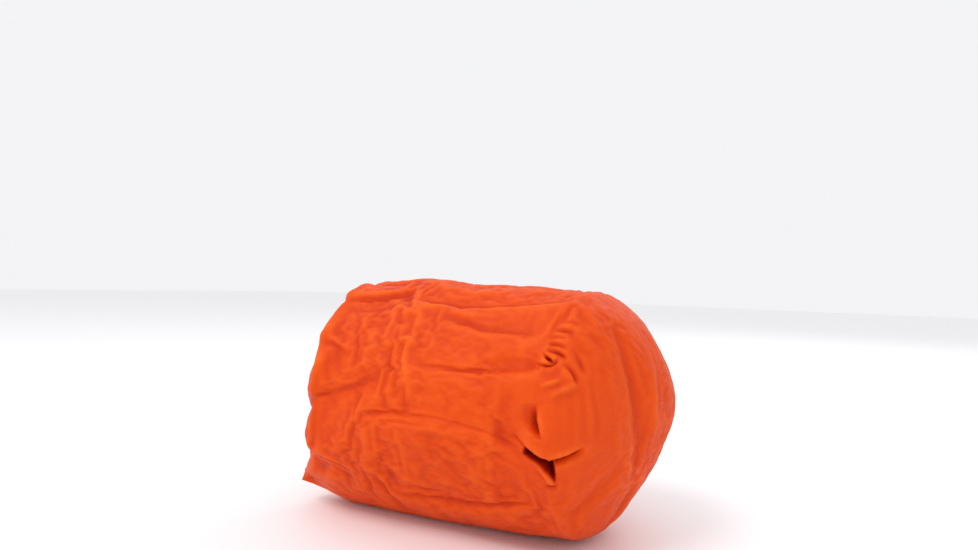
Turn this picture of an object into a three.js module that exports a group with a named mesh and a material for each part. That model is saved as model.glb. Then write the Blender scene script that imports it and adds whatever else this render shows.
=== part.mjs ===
import * as THREE from "three";

// A folded emergency sleeping bag, stuffed tight into its own light woven sack and lying on its side.
// Millimetres, +Z up. The sack lies along X: +X is its round end, -X the end with the straight seam,
// -Y its front. The origin is on the floor, under the middle of the sack.

// Driving dimensions: where each end starts and how far it reaches, and the two sections between
const SEAM_END = {
  rim: -42.4, reach: 15.2, y: -5, z: 42.6, turn: 62, width: 0.96, thick: 0.075, lip: 0.9,
};
const ROUND_END = { rim: 37.7, reach: 25.4, y: 6, z: 46.4 };
const LEFT_SECTION = { y: 0, z: 39.4, halfDepth: 38.6, halfHeight: 40.6 };
const RIGHT_SECTION = { y: 2.6, z: 40.1, halfDepth: 35.7, halfHeight: 37.4 };
const CROWN = 0.9;
const FLOOR = 1.4;

// How each end closes: a larger shoulder keeps the rim fuller, a smaller tip makes the end blunter
const CLOSING = { shoulder: 1.7, tip: 1.25 };

// How finely the cloth is divided: rings along the sack, points round it, the angle where the points
// stand closest, which is the deep pleat's, and how much closer the body's rings stand at the rim
const RINGS = { seamEnd: 12, body: 20, roundEnd: 31 };
const POINTS_ROUND = 92;
const CLOSEST_AT = 186;
const CLOSENESS = { round: 0.5, along: 0.13 };

// The folds, a row each. A fold lies on one of two maps of the cloth. On the map "end" the round
// end is laid flat: "angle" goes round the sack (0 back, 90 top, 180 front) and "out" is the way
// along the cloth from the nose, with the rim at about 46. On the map "side" the sack is unrolled,
// with the same two places. "heading" is the way the fold runs in degrees: on "end" 0 points back
// and 90 up, on "side" 0 points away from the nose and 90 the way the angle grows. "bow" is how far
// its middle stands off to its left, "width" its half width and "depth" how deep it is, below 0 for
// a ridge. "lap" is how far the cloth on its left stands over it, below 0 for its right, and "peak"
// is the part of its length where it is deepest. Angles are in degrees and sizes in millimetres.
const FOLD_COLUMNS = [
  "map", "angle", "out", "heading", "length", "bow", "width", "depth", "lap", "peak",
];
const FOLDS = [
  // The deep pleat of the round end, the edge of its flap, the pocket's lower edge and a dent below
  ["end", 192.2, 44.9, 21, 10.4, 0.2, 1.3, 2.4, 0.9, 0.4],
  ["end", 191.5, 43.6, 152, 15.5, 0.3, 1.7, 1.2, -0.9, 0.4],
  ["end", 195.5, 49.4, -40, 10.5, 0.9, 1.6, -0.8, 0, 0.6],
  ["end", 203.8, 47.6, 16, 4.4, 0, 1.5, 0.9, 0, 0.5],
  // The cloth's edge at the front of the rim, which stands over a hollow
  ["end", 168.5, 49.6, -84, 15, -1.2, 2, 2.2, 0.9, 0.5],
  // The gathered knot at the rim and the puckers round it
  ["end", 148.6, 49.4, -63, 3.4, 0, 1.4, 2.6, 0, 0.5],
  ["end", 152.4, 49.8, 0, 5.4, -1, 1.1, 1.1, 0.4, 0.45],
  ["end", 144.6, 49.9, -49, 6.7, 1.1, 1.2, 1, 0.3, 0.6],
  ["end", 139.5, 49.6, -46, 7.5, 1.1, 1.3, 0.9, 0.3, 0.5],
  ["end", 132.5, 49.2, -48, 8, 0.8, 1.5, 0.8, 0.3, 0.5],
  // The hollow below the knot, two ridges and a crease beside them
  ["end", 157.8, 49.2, 3, 7, 0, 2.2, 0.8, 0, 0.5],
  ["end", 162.2, 49, 11, 7.5, 0, 1.4, -0.6, 0, 0.5],
  ["end", 165.8, 45.6, 17, 9, 0.2, 1.4, -0.7, 0, 0.5],
  ["end", 150.5, 43.4, -77, 8.2, 0.5, 1.3, 0.9, -0.3, 0.6],
  // The long slack folds down the round end
  ["end", 118, 34, -84, 52, -4, 3.6, 0.7, 0, 0.5],
  ["end", 100, 30, -95, 54, 4, 4, 0.6, 0, 0.5],
  ["end", 74, 30, -112, 50, 5, 4, 0.7, 0, 0.5],
  ["end", 250, 14, -62, 28, 2, 4, 0.7, 0, 0.5],
  ["end", 228, 44, 58, 22, 2, 3, 0.8, 0, 0.4],
  ["end", 262, 42, 92, 20, -2, 3, 0.7, 0, 0.4],
  // The folds that run along the sack from the round end
  ["side", 151, 49, 4, 44, 3, 2.8, 1.7, 0.6, 0.12],
  ["side", 136, 51, -5, 36, 2, 3, 1.3, 0.4, 0.2],
  ["side", 190, 51, -6, 56, -4, 3, 1.9, 0.9, 0.2],
  ["side", 214, 52, 5, 48, 3, 3.2, 1.4, 0.5, 0.3],
  ["side", 112, 48, 6, 52, 4, 3.4, 1.3, 0.4, 0.3],
  ["side", 84, 50, -6, 40, -3, 3.6, 1.1, 0.4, 0.3],
  ["side", 50, 48, 5, 54, 4, 4, 1.4, 0.5, 0.3],
  ["side", 14, 50, -5, 46, -3, 4, 1.3, 0.5, 0.3],
  ["side", 338, 50, 6, 44, 3, 4, 1.2, 0.5, 0.3],
  // The folds that run on to the sack from the seam, and those at its two corners
  ["side", 96, 158, 172, 50, 4, 3.6, 1.7, 0.5, 0.35],
  ["side", 124, 160, 186, 58, -4, 3.4, 1.8, 0.6, 0.35],
  ["side", 152, 158, 176, 44, 3, 3.2, 1.5, 0.5, 0.35],
  ["side", 178, 160, 188, 60, -4, 3.2, 1.9, 0.6, 0.35],
  ["side", 206, 158, 174, 46, 3, 3.2, 1.6, 0.5, 0.35],
  ["side", 232, 156, 190, 34, -2, 3, 1.3, 0.4, 0.3],
  ["side", 290, 156, 182, 40, 3, 3.6, 1.4, 0.4, 0.35],
  ["side", 324, 160, 175, 52, -3, 4, 1.7, 0.5, 0.35],
  ["side", 356, 160, 186, 48, 3, 4, 1.5, 0.5, 0.35],
  ["side", 28, 158, 177, 54, -4, 4, 1.7, 0.5, 0.35],
  ["side", 52, 156, 170, 34, 2, 3.6, 1.3, 0.4, 0.3],
].map((row) => Object.fromEntries(FOLD_COLUMNS.map((name, i) => [name, row[i]])));

// A lapped fold is steep under the standing cloth and this much gentler on its other side. The
// standing cloth falls away over this many half widths, and leans over the fold by this share of
// the lap.
const LAP = { gentle: 1.6, slope: 4, lean: 0.8 };

// The pocket under the pleat's flap: its outline on the map "end", in millimetres back and up from
// the nose, how deep it is, and how far inside its outline it is that deep
const POCKET = {
  depth: 3, soft: 2.1,
  outline: [
    [-51.5, -5.5], [-47.4, -7.4], [-44.2, -9.2], [-41.8, -9], [-41, -12], [-40, -17.6], [-42.6, -15.8],
    [-44.8, -14.2], [-48, -12.4], [-51.5, -10.5],
  ],
};

const CLOTH = { color: 0xe2541c, roughness: 0.55, metalness: 0 };

const TURN = 2 * Math.PI;
const radians = THREE.MathUtils.degToRad;
const mix = THREE.MathUtils.lerp;

// A section of the sack: its middle, its half sizes back and up, and how far it is pressed flat
// across the seam's line
function bodySection(along) {
  const crown = CROWN * Math.sin(Math.PI * along);
  return {
    x: mix(SEAM_END.rim, ROUND_END.rim, along),
    y: mix(LEFT_SECTION.y, RIGHT_SECTION.y, along),
    z: mix(LEFT_SECTION.z, RIGHT_SECTION.z, along),
    halfDepth: mix(LEFT_SECTION.halfDepth, RIGHT_SECTION.halfDepth, along) + crown,
    halfHeight: mix(LEFT_SECTION.halfHeight, RIGHT_SECTION.halfHeight, along) + crown,
    press: 1,
  };
}

// The share of its size that an end still has when a share of its reach is gone
function leftAt(gone) {
  return (1 - gone ** CLOSING.shoulder) ** (1 / CLOSING.tip);
}

// The seam end is pressed flat across its straight seam, as the bottom of a stuffed flat sack is,
// and the seam's two corners stand out
function seamEndSection(gone) {
  const width = mix(1, SEAM_END.width, gone);
  return {
    x: SEAM_END.rim - SEAM_END.reach * gone,
    y: mix(LEFT_SECTION.y, SEAM_END.y, gone),
    z: mix(LEFT_SECTION.z, SEAM_END.z, gone),
    halfDepth: LEFT_SECTION.halfDepth * width,
    halfHeight: LEFT_SECTION.halfHeight * width,
    press: Math.max(leftAt(gone), SEAM_END.thick),
  };
}

// The round end closes to a blunt nose a little above the middle
function roundEndSection(part) {
  const gone = Math.sin((TURN / 4) * part);
  const left = leftAt(gone);
  return {
    x: ROUND_END.rim + ROUND_END.reach * gone,
    y: mix(ROUND_END.y, RIGHT_SECTION.y, left),
    z: mix(ROUND_END.z, RIGHT_SECTION.z, left),
    halfDepth: RIGHT_SECTION.halfDepth * left,
    halfHeight: RIGHT_SECTION.halfHeight * left,
    press: 1,
  };
}

function sections() {
  const list = [];
  for (let i = RINGS.seamEnd; i > 0; i -= 1) list.push(seamEndSection(i / RINGS.seamEnd));
  for (let i = 0; i < RINGS.body; i += 1) {
    const even = i / RINGS.body;
    list.push(bodySection(even + CLOSENESS.along * Math.sin(Math.PI * even)));
  }
  for (let i = 0; i < RINGS.roundEnd; i += 1) list.push(roundEndSection(i / RINGS.roundEnd));
  return list;
}

// The angle of each point round the sack
function anglesRound() {
  const list = [];
  for (let j = 0; j < POINTS_ROUND; j += 1) {
    const even = (TURN * j) / POINTS_ROUND;
    list.push(even - CLOSENESS.round * Math.sin(even) + radians(CLOSEST_AT));
  }
  return list;
}

function pointOn(section, angle) {
  const turn = radians(SEAM_END.turn);
  const back = section.halfDepth * Math.cos(angle);
  const up = section.halfHeight * Math.sin(angle);
  const along = back * Math.cos(turn) + up * Math.sin(turn);
  const across = section.press * (up * Math.cos(turn) - back * Math.sin(turn));
  return new THREE.Vector3(
    section.x,
    section.y + along * Math.cos(turn) - across * Math.sin(turn),
    section.z + along * Math.sin(turn) + across * Math.cos(turn),
  );
}

// The mean way along the cloth from the nose to each ring
function waysFromNose(rings, nose) {
  const ways = [];
  let way = 0;
  for (let i = rings.length - 1; i >= 0; i -= 1) {
    const nearer = rings[i + 1] ?? rings[i].map(() => nose);
    const steps = rings[i].map((point, j) => point.distanceTo(nearer[j]));
    way += steps.reduce((sum, step) => sum + step, 0) / steps.length;
    ways[i] = way;
  }
  return ways;
}

// Where an angle and a way from the nose lie on a map of the cloth
function placeOn(map, angle, way) {
  if (map === "end") return { h: way * Math.cos(angle), k: way * Math.sin(angle) };
  return { h: way, k: angle * LEFT_SECTION.halfDepth };
}

// What a fold does to the cloth at a place: how far in it pushes it, and how far it leans it over
// the fold, on the fold's own map
function foldAt(fold, angle, way) {
  const start = placeOn(fold.map, radians(fold.angle), fold.out);
  const place = placeOn(fold.map, angle, way);
  if (fold.map === "side") {
    const girth = TURN * LEFT_SECTION.halfDepth;
    place.k -= girth * Math.round((place.k - start.k) / girth);
  }
  const ahead = { h: Math.cos(radians(fold.heading)), k: Math.sin(radians(fold.heading)) };
  const from = { h: place.h - start.h, k: place.k - start.k };
  const part = (from.h * ahead.h + from.k * ahead.k) / fold.length;
  if (part <= 0 || part >= 1) return { inward: 0, h: 0, k: 0 };
  const off = from.k * ahead.h - from.h * ahead.k - 4 * fold.bow * part * (1 - part);
  const rise = part < fold.peak ? part / fold.peak : (1 - part) / (1 - fold.peak);
  const strength = Math.sin((TURN / 4) * rise);
  const hand = fold.lap < 0 ? -1 : 1;
  const side = (hand * off) / fold.width;
  const gentle = fold.lap !== 0 && side < 0 ? LAP.gentle : 1;
  const trough = fold.depth * Math.exp(-((side / gentle) ** 2));
  const standing = side > 0 ? Math.abs(fold.lap) * (1 - Math.exp(-(side ** 2))) : 0;
  const lean = LAP.lean * fold.lap * Math.exp(-((side - 1) ** 2));
  return {
    inward: strength * (trough - standing * Math.exp(-side / LAP.slope)),
    h: strength * lean * ahead.k,
    k: -strength * lean * ahead.h,
  };
}

// How far a place lies inside the pocket's outline, and 0 outside it
function insidePocket(place) {
  let inside = false;
  let nearest = Infinity;
  POCKET.outline.forEach(([startH, startK], i) => {
    const [endH, endK] = POCKET.outline[(i + 1) % POCKET.outline.length];
    const line = new THREE.Line3(
      new THREE.Vector3(startH, startK, 0),
      new THREE.Vector3(endH, endK, 0),
    );
    const point = new THREE.Vector3(place.h, place.k, 0);
    nearest = Math.min(nearest, line.closestPointToPoint(point, true, new THREE.Vector3()).distanceTo(point));
    const crosses = (startK > place.k) !== (endK > place.k);
    if (crosses && place.h < mix(startH, endH, (place.k - startK) / (endK - startK))) inside = !inside;
  });
  return inside ? nearest : 0;
}

// The rings with every fold and the pocket pressed into them
function foldedRings(rings, angles, ways) {
  const lastRing = rings.length - 1;
  return rings.map((ring, i) => ring.map((point, j) => {
    const before = ring[(j + POINTS_ROUND - 1) % POINTS_ROUND];
    const after = ring[(j + 1) % POINTS_ROUND];
    const round = after.clone().sub(before).normalize();
    const nearer = rings[Math.min(i + 1, lastRing)][j];
    const away = rings[Math.max(i - 1, 0)][j].clone().sub(nearer).normalize();
    const outward = away.clone().cross(round).normalize();
    const inside = insidePocket(placeOn("end", angles[j], ways[i]));
    const sunk = POCKET.depth * THREE.MathUtils.smoothstep(inside, 0, POCKET.soft);
    const folded = point.clone().addScaledVector(outward, -sunk);
    for (const fold of FOLDS) {
      const { inward, h, k } = foldAt(fold, angles[j], ways[i]);
      const turned = fold.map === "end" ? angles[j] : 0;
      folded.addScaledVector(outward, -inward);
      folded.addScaledVector(away, h * Math.cos(turned) + k * Math.sin(turned));
      folded.addScaledVector(round, k * Math.cos(turned) - h * Math.sin(turned));
    }
    return folded;
  }));
}

function middleOf(ring) {
  const sum = ring.reduce((total, point) => total.add(point), new THREE.Vector3());
  return sum.divideScalar(ring.length);
}

// The rings joined into one closed skin, with a pole in the seam and one at the nose
function skin(rings) {
  const seamPole = middleOf(rings[0]);
  seamPole.x -= SEAM_END.lip;
  const points = [...rings.flat(), seamPole, middleOf(rings[rings.length - 1])];
  for (const point of points) point.z = Math.max(point.z, FLOOR);
  const lastRing = rings.length - 1;
  const seam = points.length - 2;
  const index = [];
  for (let j = 0; j < POINTS_ROUND; j += 1) {
    const next = (j + 1) % POINTS_ROUND;
    index.push(seam, next, j);
    for (let i = 0; i < lastRing; i += 1) {
      const here = i * POINTS_ROUND;
      const there = here + POINTS_ROUND;
      index.push(here + j, here + next, there + next);
      index.push(here + j, there + next, there + j);
    }
    index.push(lastRing * POINTS_ROUND + j, lastRing * POINTS_ROUND + next, seam + 1);
  }
  const geometry = new THREE.BufferGeometry();
  geometry.setFromPoints(points);
  geometry.setIndex(index);
  return geometry;
}

function sackGeometry() {
  const nose = new THREE.Vector3(ROUND_END.rim + ROUND_END.reach, ROUND_END.y, ROUND_END.z);
  const angles = anglesRound();
  const rings = sections().map((section) => angles.map((angle) => pointOn(section, angle)));
  const geometry = skin(foldedRings(rings, angles, waysFromNose(rings, nose)));
  geometry.computeBoundingBox();
  const middle = geometry.boundingBox.getCenter(new THREE.Vector3());
  geometry.translate(-middle.x, -middle.y, -FLOOR);
  geometry.computeVertexNormals();
  return geometry;
}

const sack = new THREE.Mesh(sackGeometry(), new THREE.MeshStandardMaterial(CLOTH));
sack.name = "packed_sack";

const group = new THREE.Group();
group.name = "packed_sleeping_bag";
group.add(sack);

export default group;
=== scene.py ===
import math

import bpy
import numpy as np
from mathutils import Matrix, Vector, noise


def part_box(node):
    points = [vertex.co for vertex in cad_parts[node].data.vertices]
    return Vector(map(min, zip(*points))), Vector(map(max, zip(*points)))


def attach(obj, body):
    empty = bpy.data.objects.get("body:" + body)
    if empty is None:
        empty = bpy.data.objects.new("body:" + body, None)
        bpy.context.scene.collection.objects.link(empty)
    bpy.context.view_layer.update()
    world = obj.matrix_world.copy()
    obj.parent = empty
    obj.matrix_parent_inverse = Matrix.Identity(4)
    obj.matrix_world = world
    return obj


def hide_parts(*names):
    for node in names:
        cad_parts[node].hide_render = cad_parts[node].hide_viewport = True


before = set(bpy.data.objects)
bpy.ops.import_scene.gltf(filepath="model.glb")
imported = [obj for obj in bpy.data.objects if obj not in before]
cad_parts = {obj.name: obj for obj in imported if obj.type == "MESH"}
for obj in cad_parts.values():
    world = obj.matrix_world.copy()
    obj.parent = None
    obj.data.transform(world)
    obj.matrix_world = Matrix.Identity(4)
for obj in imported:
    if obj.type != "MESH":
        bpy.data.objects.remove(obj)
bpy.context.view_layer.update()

# The view. The camera stands where the photograph's did: close, about level with the sack's top and
# 30 degrees round from its front towards the round end.
EYE = (0.109483, -0.188634, 0.077147)
EYE_RIGHT = (0.86257, 0.50510, 0.02907)
EYE_UP = (-0.01740, -0.02781, 0.99946)
EYE_BACK = (0.50560, -0.86260, -0.01520)
LENS_MM = 23.93

eye_data = bpy.data.cameras.new("eye")
eye_data.lens = LENS_MM
eye_data.sensor_width = 36.0
eye_data.clip_start = 0.01
eye_data.clip_end = 20.0
eye = bpy.data.objects.new("eye", eye_data)
bpy.context.scene.collection.objects.link(eye)
turned = Matrix((EYE_RIGHT, EYE_UP, EYE_BACK)).transposed().to_4x4()
eye.matrix_world = Matrix.Translation(EYE) @ turned
bpy.context.scene.camera = eye

# The studio. A wide pale table, a pale room, a large soft light high at the front left, a weaker one
# from the right and a third behind, which draws the sack's upper edge.
TABLE_HALF = 3.0
TABLE_COLOUR = (0.92, 0.92, 0.925, 1.0)
ROOM_COLOUR = (0.98, 0.98, 1.0, 1.0)
ROOM_STRENGTH = 0.92
SOFT_LIGHTS = {
    "key": {"at": (-0.25, -0.6, 0.95), "size": 0.5, "watts": 4.1},
    "fill": {"at": (0.95, -0.45, 0.35), "size": 0.9, "watts": 0.15},
    "rim": {"at": (0.15, 0.8, 0.7), "size": 0.6, "watts": 1.5},
}

table_mesh = bpy.data.meshes.new("table")
corners = [(x * TABLE_HALF, y * TABLE_HALF, 0.0) for x, y in ((-1, -1), (1, -1), (1, 1), (-1, 1))]
table_mesh.from_pydata(corners, [], [(0, 1, 2, 3)])
table = bpy.data.objects.new("table", table_mesh)
bpy.context.scene.collection.objects.link(table)
table_look = bpy.data.materials.new("pale_table")
table_look.use_nodes = True
table_shader = table_look.node_tree.nodes["Principled BSDF"]
table_shader.inputs["Base Color"].default_value = TABLE_COLOUR
table_shader.inputs["Roughness"].default_value = 0.6
table_mesh.materials.append(table_look)

room = bpy.data.worlds.new("room")
room.use_nodes = True
room.node_tree.nodes["Background"].inputs["Color"].default_value = ROOM_COLOUR
room.node_tree.nodes["Background"].inputs["Strength"].default_value = ROOM_STRENGTH
bpy.context.scene.world = room
bpy.context.scene.view_settings.view_transform = "Standard"

sack_low, sack_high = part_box("packed_sack")
sack_middle = (sack_low + sack_high) / 2
for name, light in SOFT_LIGHTS.items():
    lamp_data = bpy.data.lights.new(name, "AREA")
    lamp_data.shape = "DISK"
    lamp_data.size = light["size"]
    lamp_data.energy = light["watts"]
    lamp = bpy.data.objects.new(name, lamp_data)
    bpy.context.scene.collection.objects.link(lamp)
    lamp.location = light["at"]
    lamp.rotation_euler = (sack_middle - lamp.location).to_track_quat("-Z", "Y").to_euler()

# The sack. Light woven orange nylon, stuffed tight with the folded bag and lying on its side: a
# round end towards +X, a straight sewn seam across the other end, and folds that run between them.
# Its form is the CAD solid's, in millimetres, divided about four times as finely.
SEAM_END = {
    "rim": -42.4, "reach": 15.2, "y": -5.0, "z": 42.6,
    "turn": 62.0, "width": 0.96, "thick": 0.075, "lip": 0.9,
}
ROUND_END = {"rim": 37.7, "reach": 25.4, "y": 6.0, "z": 46.4}
LEFT_SECTION = {"y": 0.0, "z": 39.4, "half_depth": 38.6, "half_height": 40.6}
RIGHT_SECTION = {"y": 2.6, "z": 40.1, "half_depth": 35.7, "half_height": 37.4}
CROWN = 0.9
FLOOR = 1.4

# A larger shoulder keeps an end's rim fuller, and a smaller tip makes the end blunter
CLOSING = {"shoulder": 1.7, "tip": 1.25}

# As in the CAD, the origin is on the floor under the middle of the solid's box
MOVED = (-1.917, -0.536, -FLOOR)

# The grids, in points round the sack and millimetres between the rings: the fine one is what shows,
# and the coarse one is what Blender's cloth settles. Points stand closest at the deep pleat, and
# rings at the rim. The way along the cloth is measured on a much closer row of sections.
FINE = {"around": 400, "step": 0.92, "end_step": 0.62, "rim_step": 0.36}
COARSE = {"around": 180, "step": 1.35, "end_step": 1.35, "rim_step": 1.35}
RIM_WAY = (39.0, 55.0)
RIM_FADE = 1.5
CLOSE_ROW = {"end": 900, "body": 600, "around": 96, "crowding": 1.5}
WAY_STEPS = 4000
CLOSEST_AT = 186.0
CLOSENESS = 0.5


def mix(a, b, part):
    return a + (b - a) * part


def left_at(gone):
    """The share of its size that an end still has when a share of its reach is gone."""
    return np.maximum(1 - gone ** CLOSING["shoulder"], 0) ** (1 / CLOSING["tip"])


def seam_end_section(gone):
    """The seam end, pressed flat across its straight seam as the bottom of a flat sack is."""
    width = mix(1, SEAM_END["width"], gone)
    return {
        "x": SEAM_END["rim"] - SEAM_END["reach"] * gone,
        "y": mix(LEFT_SECTION["y"], SEAM_END["y"], gone),
        "z": mix(LEFT_SECTION["z"], SEAM_END["z"], gone),
        "half_depth": LEFT_SECTION["half_depth"] * width,
        "half_height": LEFT_SECTION["half_height"] * width,
        "press": np.maximum(left_at(gone), SEAM_END["thick"]),
    }


def body_section(along):
    """The slightly crowned body between the two ends."""
    crown = CROWN * np.sin(math.pi * along)
    made = {key: mix(LEFT_SECTION[key], RIGHT_SECTION[key], along) for key in LEFT_SECTION}
    made["half_depth"] = made["half_depth"] + crown
    made["half_height"] = made["half_height"] + crown
    made["x"] = mix(SEAM_END["rim"], ROUND_END["rim"], along)
    made["press"] = np.ones_like(along)
    return made


def round_end_section(gone):
    """The round end, which closes to a blunt nose a little above the middle."""
    left = left_at(gone)
    return {
        "x": ROUND_END["rim"] + ROUND_END["reach"] * gone,
        "y": mix(ROUND_END["y"], RIGHT_SECTION["y"], left),
        "z": mix(ROUND_END["z"], RIGHT_SECTION["z"], left),
        "half_depth": RIGHT_SECTION["half_depth"] * left,
        "half_height": RIGHT_SECTION["half_height"] * left,
        "press": np.ones_like(gone),
    }


def sections():
    """A close row of sections from the seam to the nose, with the way along the cloth to the nose."""
    shares = 1 - (1 - np.linspace(0, 1, CLOSE_ROW["end"])) ** CLOSE_ROW["crowding"]
    parts = [
        seam_end_section(shares[:0:-1]),
        body_section(np.linspace(0, 1, CLOSE_ROW["body"], endpoint=False)),
        round_end_section(shares[:-1]),
    ]
    close = {key: np.concatenate([part[key] for part in parts]) for key in parts[0]}
    round_angles = np.linspace(0, 2 * math.pi, CLOSE_ROW["around"], endpoint=False)
    places = ring_places(close, round_angles)
    nose = np.array([ROUND_END["rim"] + ROUND_END["reach"], ROUND_END["y"], ROUND_END["z"]])
    nearer = np.concatenate([places[1:], np.broadcast_to(nose, places[:1].shape)])
    steps = np.linalg.norm(places - nearer, axis=-1).mean(axis=1)
    return close, np.cumsum(steps[::-1])[::-1]


def ring_places(ring, angles):
    """The places round each section at these angles."""
    ring = {key: value[:, None] for key, value in ring.items()}
    turn = math.radians(SEAM_END["turn"])
    back = ring["half_depth"] * np.cos(angles)
    up = ring["half_height"] * np.sin(angles)
    along = back * math.cos(turn) + up * math.sin(turn)
    across = ring["press"] * (up * math.cos(turn) - back * math.sin(turn))
    x = np.broadcast_to(ring["x"], back.shape)
    y = ring["y"] + along * math.cos(turn) - across * math.sin(turn)
    z = ring["z"] + along * math.sin(turn) + across * math.cos(turn)
    return np.stack([x, y, z], axis=-1)


def smooth_sack(grid):
    """The sack's rings without folds, the angle of each point and the way of each ring."""
    close, close_ways = sections()
    way = np.linspace(close_ways[0], close_ways[-1] + grid["end_step"], WAY_STEPS)
    before_rim = np.exp((RIM_WAY[0] - way) / RIM_FADE)
    past_rim = np.exp((way - RIM_WAY[1]) / RIM_FADE)
    near_rim = 1 / (1 + before_rim) / (1 + past_rim)
    step = np.where(way < RIM_WAY[0], grid["end_step"], grid["step"])
    step = mix(step, grid["rim_step"], near_rim)
    rings_passed = np.concatenate(([0], np.cumsum(-np.diff(way) / step[1:])))
    count = int(rings_passed[-1]) + 1
    ways = np.interp(np.arange(count), rings_passed, way)
    order = np.argsort(close_ways)
    ring = {key: np.interp(ways, close_ways[order], value[order]) for key, value in close.items()}
    even = 2 * math.pi * np.arange(grid["around"]) / grid["around"]
    angles = even - CLOSENESS * np.sin(even) + math.radians(CLOSEST_AT)
    return ring_places(ring, angles), angles, ways


# The folds, a row each, as in the CAD. A fold starts at "angle" and "out" on the map "end", where the
# round end is laid flat round its nose, or on the map "side", where the sack is unrolled. "lap" is how
# far the cloth on its left stands over it, and "peak" the part of its length where it is deepest.
FOLD_COLUMNS = ("map", "angle", "out", "heading", "length", "bow", "width", "depth", "lap", "peak")

# The broad folds, which are the CAD's
BROAD_FOLDS = (
    # the long slack folds down the round end
    ("end", 118, 34, -84, 52, -4, 3.6, 0.7, 0, 0.5),
    ("end", 100, 30, -95, 54, 4, 4, 0.6, 0, 0.5),
    ("end", 74, 30, -112, 50, 5, 4, 0.7, 0, 0.5),
    ("end", 250, 14, -62, 28, 2, 4, 0.7, 0, 0.5),
    ("end", 228, 44, 58, 22, 2, 3, 0.8, 0, 0.4),
    ("end", 262, 42, 92, 20, -2, 3, 0.7, 0, 0.4),
    # the folds that run along the sack from the round end
    ("side", 151, 49, 4, 44, 3, 2.8, 1.7, 0.6, 0.12),
    ("side", 136, 51, -5, 36, 2, 3, 1.3, 0.4, 0.2),
    ("side", 190, 51, -6, 56, -4, 3, 1.9, 0.9, 0.2),
    ("side", 214, 52, 5, 48, 3, 3.2, 1.4, 0.5, 0.3),
    ("side", 112, 48, 6, 52, 4, 3.4, 1.3, 0.4, 0.3),
    ("side", 84, 50, -6, 40, -3, 3.6, 1.1, 0.4, 0.3),
    ("side", 50, 48, 5, 54, 4, 4, 1.4, 0.5, 0.3),
    ("side", 14, 50, -5, 46, -3, 4, 1.3, 0.5, 0.3),
    ("side", 338, 50, 6, 44, 3, 4, 1.2, 0.5, 0.3),
    # the folds that run on to the sack from the seam
    ("side", 96, 158, 172, 50, 4, 3.6, 1.7, 0.5, 0.35),
    ("side", 124, 160, 186, 58, -4, 3.4, 1.8, 0.6, 0.35),
    ("side", 152, 158, 176, 44, 3, 3.2, 1.5, 0.5, 0.35),
    ("side", 178, 160, 188, 60, -4, 3.2, 1.9, 0.6, 0.35),
    ("side", 206, 158, 174, 46, 3, 3.2, 1.6, 0.5, 0.35),
    ("side", 232, 156, 190, 34, -2, 3, 1.3, 0.4, 0.3),
    ("side", 290, 156, 182, 40, 3, 3.6, 1.4, 0.4, 0.35),
    ("side", 324, 160, 175, 52, -3, 4, 1.7, 0.5, 0.35),
    ("side", 356, 160, 186, 48, 3, 4, 1.5, 0.5, 0.35),
    ("side", 28, 158, 177, 54, -4, 4, 1.7, 0.5, 0.35),
    ("side", 52, 156, 170, 34, 2, 3.6, 1.3, 0.4, 0.3),
)

# The crisp ones at the front of the rim: the CAD's small folds drawn finer, and a few more
CRISP_FOLDS = (
    # the slit of the deep pleat, the edge of its flap, the lower edge of the pocket and a dent below
    ("end", 192.2, 44.6, 21, 10.2, 0.2, 1.0, 3.8, 1.1, 0.35),
    ("end", 192.6, 44.1, 151, 14.8, 0.3, 1.0, 1.8, -1.5, 0.35),
    ("end", 193.9, 49.0, -43, 9.8, 0.9, 0.9, -1.1, 0, 0.6),
    ("end", 203.8, 47.6, 16, 4.8, 0, 1.2, 1.0, 0, 0.5),
    # the cloth's edge at the front of the rim and the hollow it stands over
    ("end", 168.9, 49.3, -84, 12.2, -1.1, 0.9, 2.4, 0.6, 0.66),
    ("end", 168.4, 51.2, -84, 11.6, -1.1, 2.4, 1.9, 0, 0.6),
    # the knot's hole and the two arcs of its swirl
    ("end", 147.2, 49.9, -66, 4.6, -0.3, 0.5, 2.6, 0, 0.6),
    ("end", 151.9, 51.2, -2, 7.4, -1.7, 0.6, 1.7, 0.6, 0.45),
    ("end", 145.6, 49.9, -49, 7.8, 1.3, 0.75, 1.6, 0.5, 0.6),
    # the puckers above it
    ("end", 142.5, 49.6, -46, 6.9, 1.1, 0.8, 1.2, 0.5, 0.5),
    ("end", 138.8, 49.5, -43, 5.4, 0.6, 0.65, 0.7, 0.3, 0.5),
    ("end", 134.7, 48.9, -48, 6.6, 0.6, 0.9, 1.0, 0.4, 0.5),
    ("end", 130.0, 47.6, -44, 5.2, 0.4, 0.7, 0.5, 0.2, 0.5),
    # the hollow, the two ridges and the two creases below it
    ("end", 157.8, 49.2, 3, 7.0, 0, 2.0, 1.0, 0, 0.5),
    ("end", 162.2, 49.0, 11, 7.5, 0, 1.0, -0.9, 0, 0.5),
    ("end", 165.8, 45.6, 17, 9.4, 0.2, 1.1, -1.0, 0, 0.5),
    ("end", 150.5, 43.4, -77, 8.4, 0.5, 0.7, 1.1, -0.5, 0.6),
    ("end", 142.5, 42.1, -86, 10.0, 0.4, 0.8, 0.8, 0.3, 0.6),
)

# The pocket under the flap, where the cloth drops away behind its edge, on the map "end"
POCKET = {
    "depth": 6.5,
    "soft": 1.0,
    "outline": (
        (-52.0, -4.6), (-47.4, -7.3), (-44.2, -9.2), (-42.6, -9.0), (-41.7, -11.4), (-41.0, -14.0),
        (-40.2, -17.2), (-42.2, -15.0), (-43.3, -13.8), (-44.8, -13.0), (-46.2, -12.0),
        (-47.7, -11.2), (-52.0, -9.6),
    ),
}

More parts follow.
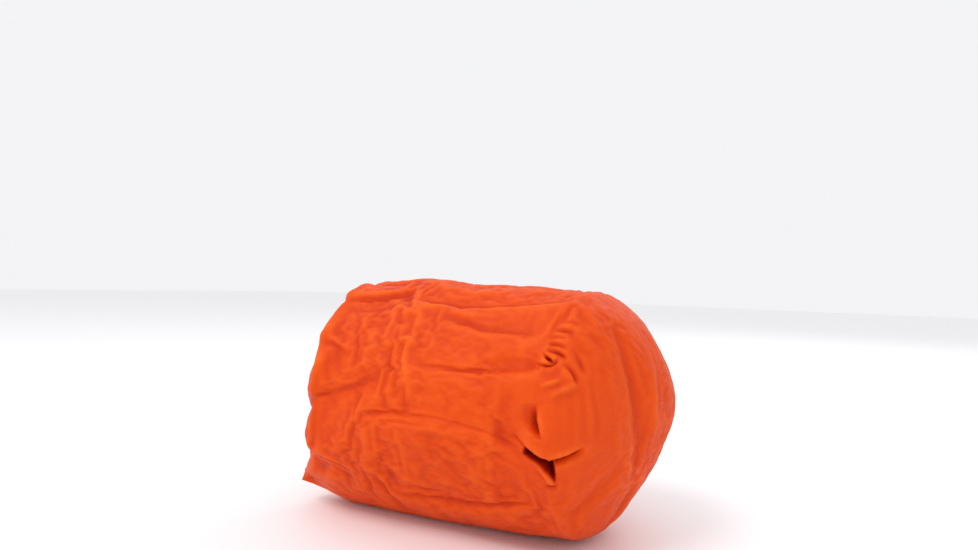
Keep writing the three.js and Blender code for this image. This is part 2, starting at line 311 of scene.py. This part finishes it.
# A lapped fold is steep under the standing cloth and this much gentler on its other side. The standing
# cloth falls away over this many half widths, and leans over by this share of the lap.
LAP = {"gentle": 1.6, "slope": 4.0, "lean": 0.8}
GIRTH = 2 * math.pi * LEFT_SECTION["half_depth"]


def place_on(map_name, angle, way):
    """Where an angle and a way from the nose lie on a map of the cloth."""
    if map_name == "end":
        return way * np.cos(angle), way * np.sin(angle)
    return way, angle * LEFT_SECTION["half_depth"]


def fold_at(fold, angle, way):
    """How far in the fold pushes the cloth at each place, and how far it leans it on its map."""
    start_h, start_k = place_on(fold["map"], math.radians(fold["angle"]), fold["out"])
    h, k = place_on(fold["map"], angle, way)
    if fold["map"] == "side":
        k = k - GIRTH * np.round((k - start_k) / GIRTH)
    ahead_h = math.cos(math.radians(fold["heading"]))
    ahead_k = math.sin(math.radians(fold["heading"]))
    part = ((h - start_h) * ahead_h + (k - start_k) * ahead_k) / fold["length"]
    off = (k - start_k) * ahead_h - (h - start_h) * ahead_k - 4 * fold["bow"] * part * (1 - part)
    rise = np.where(part < fold["peak"], part / fold["peak"], (1 - part) / (1 - fold["peak"]))
    strength = np.sin(math.pi / 2 * np.clip(rise, 0, 1))
    side = (-1 if fold["lap"] < 0 else 1) * off / fold["width"]
    gentle = np.where((side < 0) & (fold["lap"] != 0), LAP["gentle"], 1)
    trough = fold["depth"] * np.exp(-(side / gentle) ** 2)
    standing = np.where(side > 0, abs(fold["lap"]) * (1 - np.exp(-side ** 2)), 0)
    standing = standing * np.exp(-np.maximum(side, 0) / LAP["slope"])
    lean = LAP["lean"] * fold["lap"] * np.exp(-(side - 1) ** 2)
    return strength * (trough - standing), strength * lean * ahead_k, -strength * lean * ahead_h


def ways_on_cloth(places):
    """Unit vectors outwards, away from the nose and round the sack, at each place."""
    after = np.roll(places, -1, axis=1)
    before = np.roll(places, 1, axis=1)
    around = after - before
    away = np.empty_like(places)
    away[1:-1] = places[:-2] - places[2:]
    away[0] = places[0] - places[1]
    away[-1] = places[-2] - places[-1]
    around /= np.linalg.norm(around, axis=-1, keepdims=True)
    away /= np.linalg.norm(away, axis=-1, keepdims=True)
    outward = np.cross(away, around)
    outward /= np.linalg.norm(outward, axis=-1, keepdims=True)
    return outward, away, around


def fold_cloth(places, angles, ways, rows):
    """The places with each row's fold pressed into them."""
    outward, away, around = ways_on_cloth(places)
    angle = np.broadcast_to(angles[None, :], places.shape[:2])
    way = np.broadcast_to(ways[:, None], places.shape[:2])
    made = places.copy()
    for row in rows:
        fold = dict(zip(FOLD_COLUMNS, row))
        inward, h, k = fold_at(fold, angle, way)
        turned = angle if fold["map"] == "end" else np.zeros_like(angle)
        made -= outward * inward[..., None]
        made += away * (h * np.cos(turned) + k * np.sin(turned))[..., None]
        made += around * (k * np.cos(turned) - h * np.sin(turned))[..., None]
    return made


def closed_mesh(name, places, lip):
    """The rings, pressed flat on the floor, as a closed mesh with a pole in the seam and at the nose."""
    rings, around = places.shape[:2]
    seam_pole = places[0].mean(axis=0) - np.array([lip, 0, 0])
    nose = places[-1].mean(axis=0)
    points = np.vstack([places.reshape(-1, 3), seam_pole, nose])
    points[:, 2] = np.maximum(points[:, 2], FLOOR)
    points = (points + np.array(MOVED)) / 1000
    here = (np.arange(rings - 1)[:, None] * around + np.arange(around)).ravel()
    there = (np.arange(rings - 1)[:, None] * around + (np.arange(around) + 1) % around).ravel()
    quads = np.stack([here, there, there + around, here + around], axis=1)
    first = np.arange(around)
    second = (first + 1) % around
    last = (rings - 1) * around
    sides = list(zip(first.tolist(), second.tolist()))
    seam_fan = [(rings * around, b, a) for a, b in sides]
    nose_fan = [(last + a, last + b, rings * around + 1) for a, b in sides]
    mesh = bpy.data.meshes.new(name)
    mesh.from_pydata(points.tolist(), [], quads.tolist() + seam_fan + nose_fan)
    mesh.update()
    mesh.shade_smooth()
    return mesh


def grown(value, start, over):
    """0 as far as the start and 1 from start + over on, with an even rise between them."""
    return np.clip((value - start) / over, 0, 1)


def inside_outline(outline, h, k):
    """How far each place lies inside the outline, in millimetres, and 0 outside it."""
    nearest = np.full(h.shape, np.inf)
    crossings = np.zeros(h.shape, dtype=int)
    for (ah, ak), (bh, bk) in zip(outline, outline[1:] + outline[:1]):
        length = math.hypot(bh - ah, bk - ak)
        part = np.clip(((h - ah) * (bh - ah) + (k - ak) * (bk - ak)) / length ** 2, 0, 1)
        nearest = np.minimum(nearest, np.hypot(h - mix(ah, bh, part), k - mix(ak, bk, part)))
        if bk != ak:
            crossings += ((ak > k) != (bk > k)) & (h < ah + (bh - ah) * (k - ak) / (bk - ak))
    return np.where(crossings % 2 == 1, nearest, 0)


def pocket_depth(angles, ways):
    """How deep the pocket is at each place, in millimetres, and 0 outside it."""
    h, k = place_on("end", angles[None, :], ways[:, None])
    inside = grown(inside_outline(POCKET["outline"], h, k), 0, POCKET["soft"])
    return POCKET["depth"] * inside * inside * (3 - 2 * inside)


# How the cloth settles: with a little more cloth than the stuffing needs and the stuffing's volume
# kept, Blender's cloth creases by itself. The simulation runs at a larger size, which suits it. The
# floor, the seam and the nose are held, and no place moves more than MOST_MOVED millimetres.
SIM_METRES_PER_MM = 0.01
SPARE_CLOTH = 0.05
SIM_FRAMES = 16
SIM_QUALITY = 5
STUFFING_PRESSURE = 300.0
MOST_MOVED = 2.6
HELD = {"seam": 153.0, "nose": 4.0, "floor": 1e-4}


def settled_shift(places, ways):
    """How far each place moves when the slack cloth settles round its stuffing."""
    rings, around = places.shape[:2]
    mesh = closed_mesh("slack_cloth", places, SEAM_END["lip"])
    scale = 1000 * SIM_METRES_PER_MM
    mesh.transform(Matrix.Scale(scale, 4))
    slack = bpy.data.objects.new("slack_cloth", mesh)
    bpy.context.scene.collection.objects.link(slack)
    start = np.empty(len(mesh.vertices) * 3, np.float32)
    mesh.vertices.foreach_get("co", start)
    start = start.reshape(-1, 3)
    way = np.append(np.repeat(ways, around), (HELD["seam"] + 1, 0))
    held = (start[:, 2] < HELD["floor"]) | (way > HELD["seam"]) | (way < HELD["nose"])
    pins = slack.vertex_groups.new(name="held")
    pins.add(np.flatnonzero(held).tolist(), 1.0, "REPLACE")
    modifier = slack.modifiers.new("slack", "CLOTH")
    cloth = modifier.settings
    cloth.quality = SIM_QUALITY
    cloth.mass = 0.01
    cloth.use_pressure = True
    cloth.uniform_pressure_force = 0.0
    cloth.pressure_factor = STUFFING_PRESSURE
    cloth.effector_weights.gravity = 0.0
    cloth.shrink_min = -SPARE_CLOTH
    cloth.tension_stiffness = 15.0
    cloth.compression_stiffness = 15.0
    cloth.shear_stiffness = 5.0
    cloth.bending_stiffness = 0.05
    cloth.tension_damping = 1.0
    cloth.compression_damping = 1.0
    cloth.shear_damping = 1.0
    cloth.bending_damping = 0.5
    cloth.air_damping = 1.0
    cloth.vertex_group_mass = "held"
    modifier.point_cache.frame_start = 1
    modifier.point_cache.frame_end = SIM_FRAMES
    for frame_number in range(1, SIM_FRAMES + 1):
        bpy.context.scene.frame_set(frame_number)
    settled = slack.evaluated_get(bpy.context.evaluated_depsgraph_get())
    end = np.empty(len(mesh.vertices) * 3, np.float32)
    settled.data.vertices.foreach_get("co", end)
    shift = (end.reshape(-1, 3) - start)[:-2].astype(float) / SIM_METRES_PER_MM
    bpy.data.objects.remove(slack)
    bpy.data.meshes.remove(mesh)
    bpy.context.scene.frame_set(1)
    size = np.linalg.norm(shift, axis=-1, keepdims=True)
    shift *= MOST_MOVED * np.tanh(size / MOST_MOVED) / np.maximum(size, 1e-9)
    return shift.reshape(rings, around, 3)


def cubic_steps(grid_values, at):
    """grid_values, which lie at 0, 1, 2 and on, read at the places between them by smooth curves."""
    base = np.clip(np.floor(at).astype(int), 0, len(grid_values) - 2)
    part = (at - base)[:, None, None]
    last = len(grid_values) - 1
    a, b, c, d = (grid_values[np.clip(base + i, 0, last)] for i in (-1, 0, 1, 2))
    return b + 0.5 * part * (c - a + part * (2 * a - 5 * b + 4 * c - d + part * (3 * (b - c) + d - a)))


def finer_shift(shift, coarse_ways, ways, around):
    """The settled shift of the coarse grid, read at the rings and points of the fine one."""
    at_rings = np.interp(-ways, -coarse_ways, np.arange(len(coarse_ways)))
    by_ring = cubic_steps(shift, at_rings)
    spare = 3
    wrapped = np.concatenate([by_ring[:, -spare:], by_ring, by_ring[:, :spare]], axis=1)
    at_points = spare + np.arange(around) * shift.shape[1] / around
    return cubic_steps(wrapped.transpose(1, 0, 2), at_points).transpose(1, 0, 2)


# The small wrinkles of the thin cloth, in patches. They run along the sack on its body and down its
# round end, with a finer crumple round the knot, and the cloth puckers where the seam holds it.
# NOISE_LAYER keeps apart the noises that are read on the map "end".
WRINKLES = {
    "side": {"along": 13.0, "across": 3.1, "deep": 0.20},
    "end": {"along": 17.0, "across": 2.5, "deep": 0.15},
    "sharp": 3,
}
SWAY = {"size": 15.0, "most": 3.5}
WRINKLED_PATCHES = {"size": 16.0, "along": 30.0, "middle": 0.5, "contrast": 1.4}
ON_BODY = {"from": 40.0, "over": 12.0}
NOISE_LAYER = {"end": 3.7, "patches": 8.2, "crumple": 1.3}
CRUMPLE = {"size": 1.7, "deep": 0.13, "everywhere": 0.25, "at": (-41.0, 22.0), "reach": 10.0}
PUCKERS = {"pitch": GIRTH / 58, "deep": 0.32, "reach": 4.5}
SEAM_LINE = {"in": 2.6, "wide": 1.1, "deep": 0.5}
SEAM_ROLL = (0.3, 0.55, 0.75, 0.9)
SEAM_SOFT = {"from": 121.0, "over": 5.0, "times": 3}
SEAM_CORNER = {"share": 0.1, "over": 30.0}


def read_noise(x, y, z):
    """Blender's smooth noise at each place, about -0.5 to 0.5."""
    places = np.stack([x, y, z], axis=-1).reshape(-1, 3).tolist()
    return np.array([noise.noise(Vector(place)) for place in places]).reshape(x.shape)


def small_relief(angles, ways):
    """How far out the small wrinkles lift the cloth at each place, in millimetres."""
    angle, way = np.meshgrid(angles, ways)
    h, k = place_on("end", angle, way)
    back = LEFT_SECTION["half_depth"] * np.cos(angle)
    up = LEFT_SECTION["half_depth"] * np.sin(angle)
    sway = SWAY["most"] * read_noise(h / SWAY["size"], k / SWAY["size"], way / SWAY["size"])
    side, end = WRINKLES["side"], WRINKLES["end"]
    on_side = read_noise(
        (way + sway) / side["along"],
        (back + sway) / side["across"],
        (up + sway) / side["across"],
    )
    on_end = read_noise(
        (h + sway) / end["across"],
        (k + sway) / end["along"],
        NOISE_LAYER["end"] + 0 * way,
    )
    in_patches = read_noise(
        h / WRINKLED_PATCHES["size"],
        k / WRINKLED_PATCHES["size"],
        NOISE_LAYER["patches"] + way / WRINKLED_PATCHES["along"],
    )
    patch = np.clip(WRINKLED_PATCHES["middle"] + WRINKLED_PATCHES["contrast"] * in_patches, 0, 1)
    side_ridges = side["deep"] * (1 - WRINKLES["sharp"] * np.abs(on_side))
    end_ridges = end["deep"] * (1 - WRINKLES["sharp"] * np.abs(on_end))
    wrinkled = mix(end_ridges, side_ridges, grown(way, ON_BODY["from"], ON_BODY["over"]))

    from_knot = np.hypot(h - CRUMPLE["at"][0], k - CRUMPLE["at"][1]) / CRUMPLE["reach"]
    crumple = read_noise(h / CRUMPLE["size"], k / CRUMPLE["size"], NOISE_LAYER["crumple"] + 0 * way)
    crumpled = CRUMPLE["deep"] * crumple * mix(CRUMPLE["everywhere"], 1, np.exp(-from_knot ** 2))

    from_seam = (ways[0] - way) / PUCKERS["reach"]
    in_line = (ways[0] - way - SEAM_LINE["in"]) / SEAM_LINE["wide"]
    turns = LEFT_SECTION["half_depth"] * angle / PUCKERS["pitch"] + sway / PUCKERS["pitch"]
    puckered = PUCKERS["deep"] * np.sin(2 * math.pi * turns) * np.exp(-from_seam ** 2)
    sewn = puckered - SEAM_LINE["deep"] * np.exp(-in_line ** 2)

    from_corner = 1 - np.abs(np.cos(angle - math.radians(SEAM_END["turn"])))
    off_corners = grown(from_corner, 0, SEAM_CORNER["share"])
    off_corners = mix(1, off_corners, grown(way, SEAM_SOFT["from"], SEAM_CORNER["over"]))
    return (wrinkled * patch + crumpled + sewn) * off_corners


def rolled_seam(places):
    """The rings, and before them those that round the seam's edge over to a line along its middle."""
    turn = math.radians(SEAM_END["turn"])
    seam_way = np.array([0, math.cos(turn), math.sin(turn)])
    middle = places[0].mean(axis=0)
    along = ((places[0] - middle) @ seam_way)[:, None] * seam_way
    across = places[0] - middle - along
    rolled = []
    for gone in SEAM_ROLL[::-1]:
        out = SEAM_END["lip"] * math.sqrt(1 - (1 - gone) ** 2)
        rolled.append(middle + along + across * (1 - gone) - np.array([out, 0, 0]))
    return np.concatenate([rolled, places])


def blurred(values, reach):
    """The values averaged over about this many rings and points each way."""
    weights = np.hanning(2 * reach + 3)[1:-1]
    weights /= weights.sum()
    wrapped = np.concatenate([values[:, -reach:], values, values[:, :reach]], axis=1)
    by_point = sum(weight * wrapped[:, i:i + values.shape[1]] for i, weight in enumerate(weights))
    ended = np.pad(by_point, ((reach, reach), (0, 0)), mode="edge")
    return sum(weight * ended[i:i + values.shape[0]] for i, weight in enumerate(weights))


# The cloth starts a little inside the solid's surface, because the slack then stands out of it. It
# moves by these shares on the round end, at the details of its front and near the floor, and freely
# elsewhere.
SNUG = 1.3
FREEDOM = {"round_end": 0.55, "details": 0.25, "floor": 0.15}
FREE_BODY = {"from": 40.0, "over": 20.0}
DETAILS = {"at": (-43, 8), "reach": (12, 26), "core": 0.8, "over": 1.0}
OFF_FLOOR = {"from": 4.0, "over": 12.0}
OFF_SEAM = 12.0
RELIEF_REACH = 7

fine_places, fine_angles, fine_ways = smooth_sack(FINE)
smooth_outward = ways_on_cloth(fine_places)[0]
folded = fold_cloth(fine_places, fine_angles, fine_ways, BROAD_FOLDS)
near_h, near_k = place_on("end", fine_angles[None, :], fine_ways[:, None])
from_details = np.hypot(
    (near_h - DETAILS["at"][0]) / DETAILS["reach"][0],
    (near_k - DETAILS["at"][1]) / DETAILS["reach"][1],
)
on_body = grown(fine_ways[:, None], FREE_BODY["from"], FREE_BODY["over"])
off_details = grown(from_details, DETAILS["core"], DETAILS["over"])
freedom = mix(FREEDOM["round_end"], 1.0, on_body) * mix(FREEDOM["details"], 1.0, off_details)
off_floor = grown(fine_places[..., 2:], OFF_FLOOR["from"], OFF_FLOOR["over"])
freedom = freedom[..., None] * mix(FREEDOM["floor"], 1, off_floor)
off_seam = grown(fine_ways[0] - fine_ways[:, None, None], 0, OFF_SEAM)
folded = folded - smooth_outward * SNUG * freedom * off_floor * off_seam
coarse_places, coarse_angles, coarse_ways = smooth_sack(COARSE)
coarse_folded = fold_cloth(coarse_places, coarse_angles, coarse_ways, BROAD_FOLDS)
shift = settled_shift(coarse_folded, coarse_ways)
folded = folded + finer_shift(shift, coarse_ways, fine_ways, FINE["around"]) * freedom
folded = folded + smooth_outward * small_relief(fine_angles, fine_ways)[..., None]

near_seam = grown(fine_ways[:, None, None], SEAM_SOFT["from"], SEAM_SOFT["over"])
for _ in range(SEAM_SOFT["times"]):
    softer = np.stack([blurred(folded[..., axis], 1) for axis in range(3)], axis=-1)
    folded = mix(folded, softer, near_seam)

sunk = pocket_depth(fine_angles, fine_ways)
folded = fold_cloth(folded, fine_angles, fine_ways, CRISP_FOLDS)
folded = folded - smooth_outward * sunk[..., None]
# The relief against the blurred cloth, with the pocket at its full depth so that the painted shade is
# darkest on its floor
standing = ((folded - fine_places) * smooth_outward).sum(axis=-1) + sunk
relief = standing - blurred(standing, RELIEF_REACH) - sunk

folded = rolled_seam(folded)
relief = np.pad(relief, ((len(SEAM_ROLL), 0), (0, 0)), mode="edge")
seam_half = SEAM_END["thick"] * LEFT_SECTION["half_depth"]
fine_ways = np.concatenate([fine_ways[0] + seam_half * np.array(SEAM_ROLL[::-1]), fine_ways])
sack_mesh = closed_mesh("sack", folded, 0)
sack = bpy.data.objects.new("sack", sack_mesh)
bpy.context.scene.collection.objects.link(sack)

# The cloth's own map counts its threads: round and along the sack on its body, and back and up from
# the nose on its round end. "relief" tells ridges, above 0, from folds, below 0, in millimetres.
THREADS_ROUND = 440
THREAD = GIRTH / THREADS_ROUND
RIM = 46.0

# The material reads the relief to paint shade into folds and the pocket and highlight onto ridges
relief = np.append(relief, (0, 0))
sack_mesh.attributes.new("relief", "FLOAT", "POINT").data.foreach_set("value", relief)

corner_point = np.empty(len(sack_mesh.loops), np.int32)
sack_mesh.loops.foreach_get("vertex_index", corner_point)
corner_face = np.repeat(
    np.arange(len(sack_mesh.polygons)),
    [len(face.vertices) for face in sack_mesh.polygons],
)
point_angle = np.append(np.tile(fine_angles, len(fine_ways)), (fine_angles[0], 0))
point_way = np.append(np.repeat(fine_ways, FINE["around"]), (fine_ways[0] + 1, 0))
corner_angle = point_angle[corner_point]
first_corner = np.concatenate(([0], np.flatnonzero(np.diff(corner_face)) + 1))
face_angle = corner_angle[first_corner][corner_face]
corner_angle = corner_angle - 2 * math.pi * np.round((corner_angle - face_angle) / (2 * math.pi))
corner_way = point_way[corner_point]
face_way = np.maximum.reduceat(corner_way, first_corner)[corner_face]
end_h, end_k = place_on("end", corner_angle, corner_way)
on_end = face_way < RIM
across = np.where(on_end, end_h / THREAD, corner_angle * THREADS_ROUND / (2 * math.pi))
along = np.where(on_end, end_k, corner_way) / THREAD
threads = sack_mesh.uv_layers.new(name="threads")
threads.data.foreach_set("uv", np.stack([across, along], axis=1).astype(np.float32).ravel())

# The cloth's look. Orange nylon with a low sheen: its threads and a fine crinkle are raised by bumps,
# ridges get a painted highlight, folds and the pocket a painted shade, and faint patches break the
# colour up.
# Painted shade and highlight: the colours from the deepest folds, darkest, to the highest ridges,
# lightest, by relief
PAINTED_SHADE_AND_HIGHLIGHT_COLOURS = (
    (0.0, (0.36, 0.010, 0.002, 1.0)),
    (0.38, (0.63, 0.043, 0.002, 1.0)),
    (0.6, (0.75, 0.066, 0.002, 1.0)),
    (1.0, (0.89, 0.122, 0.008, 1.0)),
)
PAINTED_SHADE_RELIEF_RANGE = (-1.2, 0.8)
WAVE_PER_THREAD = math.pi / 10
PATCH_COLOUR = (0.93, 0.80, 0.75, 1.0)
THREAD_COLOUR = (1.06, 1.15, 1.2, 1.0)

# Which sockets of a Mix node take the share and the two numbers or colours, and which give the result
SHARE = 0
NUMBERS = (2, 3)
COLOURS = (6, 7)
NUMBER_RESULT = 0
COLOUR_RESULT = 2

sack_cloth = bpy.data.materials.new("sack_cloth")
sack_cloth.use_nodes = True
cloth_nodes = sack_cloth.node_tree.nodes
cloth_links = sack_cloth.node_tree.links
sack_shader = cloth_nodes["Principled BSDF"]
sack_shader.inputs["Specular IOR Level"].default_value = 0.14
sack_shader.inputs["Sheen Weight"].default_value = 0.05
sack_shader.inputs["Sheen Roughness"].default_value = 0.35
sack_shader.inputs["Sheen Tint"].default_value = (1.0, 0.45, 0.2, 1.0)

# The weave: a band for each thread each way, and a checker that says which of them lies on top
thread_place = cloth_nodes.new("ShaderNodeUVMap")
thread_place.uv_map = "threads"
thread_bands = {}
for direction in ("X", "Y"):
    bands = cloth_nodes.new("ShaderNodeTexWave")
    bands.wave_type = "BANDS"
    bands.bands_direction = direction
    bands.inputs["Scale"].default_value = WAVE_PER_THREAD
    cloth_links.new(thread_place.outputs["UV"], bands.inputs["Vector"])
    thread_bands[direction] = bands
over_under = cloth_nodes.new("ShaderNodeTexChecker")
over_under.inputs["Scale"].default_value = 1.0
cloth_links.new(thread_place.outputs["UV"], over_under.inputs["Vector"])
weave = cloth_nodes.new("ShaderNodeMix")
weave.data_type = "FLOAT"
cloth_links.new(over_under.outputs["Fac"], weave.inputs[SHARE])
cloth_links.new(thread_bands["X"].outputs["Fac"], weave.inputs[NUMBERS[0]])
cloth_links.new(thread_bands["Y"].outputs["Fac"], weave.inputs[NUMBERS[1]])

# The fine crinkle and the patches, both fixed to the piece
cloth_place = cloth_nodes.new("ShaderNodeTexCoord")
crinkle = cloth_nodes.new("ShaderNodeTexNoise")
crinkle.inputs["Scale"].default_value = 620.0
crinkle.inputs["Detail"].default_value = 3.0
cloth_links.new(cloth_place.outputs["Object"], crinkle.inputs["Vector"])
patches = cloth_nodes.new("ShaderNodeTexNoise")
patches.inputs["Scale"].default_value = 55.0
patches.inputs["Detail"].default_value = 2.0
cloth_links.new(cloth_place.outputs["Object"], patches.inputs["Vector"])

crinkle_bump = cloth_nodes.new("ShaderNodeBump")
crinkle_bump.inputs["Strength"].default_value = 0.6
crinkle_bump.inputs["Distance"].default_value = 0.00012
cloth_links.new(crinkle.outputs["Fac"], crinkle_bump.inputs["Height"])
weave_bump = cloth_nodes.new("ShaderNodeBump")
weave_bump.inputs["Strength"].default_value = 0.7
weave_bump.inputs["Distance"].default_value = 0.00006
cloth_links.new(weave.outputs[NUMBER_RESULT], weave_bump.inputs["Height"])
cloth_links.new(crinkle_bump.outputs["Normal"], weave_bump.inputs["Normal"])
cloth_links.new(weave_bump.outputs["Normal"], sack_shader.inputs["Normal"])

# Painted shade in folds and the pocket and painted highlight on ridges, read from the relief, then the
# patches and the threads over it
relief_value = cloth_nodes.new("ShaderNodeAttribute")
relief_value.attribute_name = "relief"
painted_shade_share = cloth_nodes.new("ShaderNodeMapRange")
painted_shade_share.inputs["From Min"].default_value = PAINTED_SHADE_RELIEF_RANGE[0]
painted_shade_share.inputs["From Max"].default_value = PAINTED_SHADE_RELIEF_RANGE[1]
cloth_links.new(relief_value.outputs["Fac"], painted_shade_share.inputs["Value"])
painted_shade_and_highlight = cloth_nodes.new("ShaderNodeValToRGB")
painted_shade_and_highlight.color_ramp.elements[0].color = PAINTED_SHADE_AND_HIGHLIGHT_COLOURS[0][1]
painted_shade_and_highlight.color_ramp.elements[1].color = PAINTED_SHADE_AND_HIGHLIGHT_COLOURS[-1][1]
for at, colour in PAINTED_SHADE_AND_HIGHLIGHT_COLOURS[1:-1]:
    painted_shade_and_highlight.color_ramp.elements.new(at).color = colour
cloth_links.new(painted_shade_share.outputs["Result"], painted_shade_and_highlight.inputs["Fac"])
patch_colour = cloth_nodes.new("ShaderNodeMix")
patch_colour.data_type = "RGBA"
patch_colour.blend_type = "MULTIPLY"
patch_colour.inputs[COLOURS[1]].default_value = PATCH_COLOUR
patch_share = cloth_nodes.new("ShaderNodeMapRange")
patch_share.inputs["From Min"].default_value = 0.42
patch_share.inputs["From Max"].default_value = 0.68
patch_share.inputs["To Max"].default_value = 0.7
cloth_links.new(patches.outputs["Fac"], patch_share.inputs["Value"])
cloth_links.new(patch_share.outputs["Result"], patch_colour.inputs[SHARE])
cloth_links.new(painted_shade_and_highlight.outputs["Color"], patch_colour.inputs[COLOURS[0]])
thread_colour = cloth_nodes.new("ShaderNodeMix")
thread_colour.data_type = "RGBA"
thread_colour.blend_type = "MULTIPLY"
thread_colour.inputs[COLOURS[1]].default_value = THREAD_COLOUR
cloth_links.new(weave.outputs[NUMBER_RESULT], thread_colour.inputs[SHARE])
cloth_links.new(patch_colour.outputs[COLOUR_RESULT], thread_colour.inputs[COLOURS[0]])
cloth_links.new(thread_colour.outputs[COLOUR_RESULT], sack_shader.inputs["Base Color"])

# The crinkle also makes the gloss uneven
gloss = cloth_nodes.new("ShaderNodeMapRange")
gloss.inputs["From Min"].default_value = 0.3
gloss.inputs["From Max"].default_value = 0.7
gloss.inputs["To Min"].default_value = 0.42
gloss.inputs["To Max"].default_value = 0.58
cloth_links.new(crinkle.outputs["Fac"], gloss.inputs["Value"])
cloth_links.new(gloss.outputs["Result"], sack_shader.inputs["Roughness"])
sack_mesh.materials.append(sack_cloth)

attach(sack, "root")
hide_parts("packed_sack")
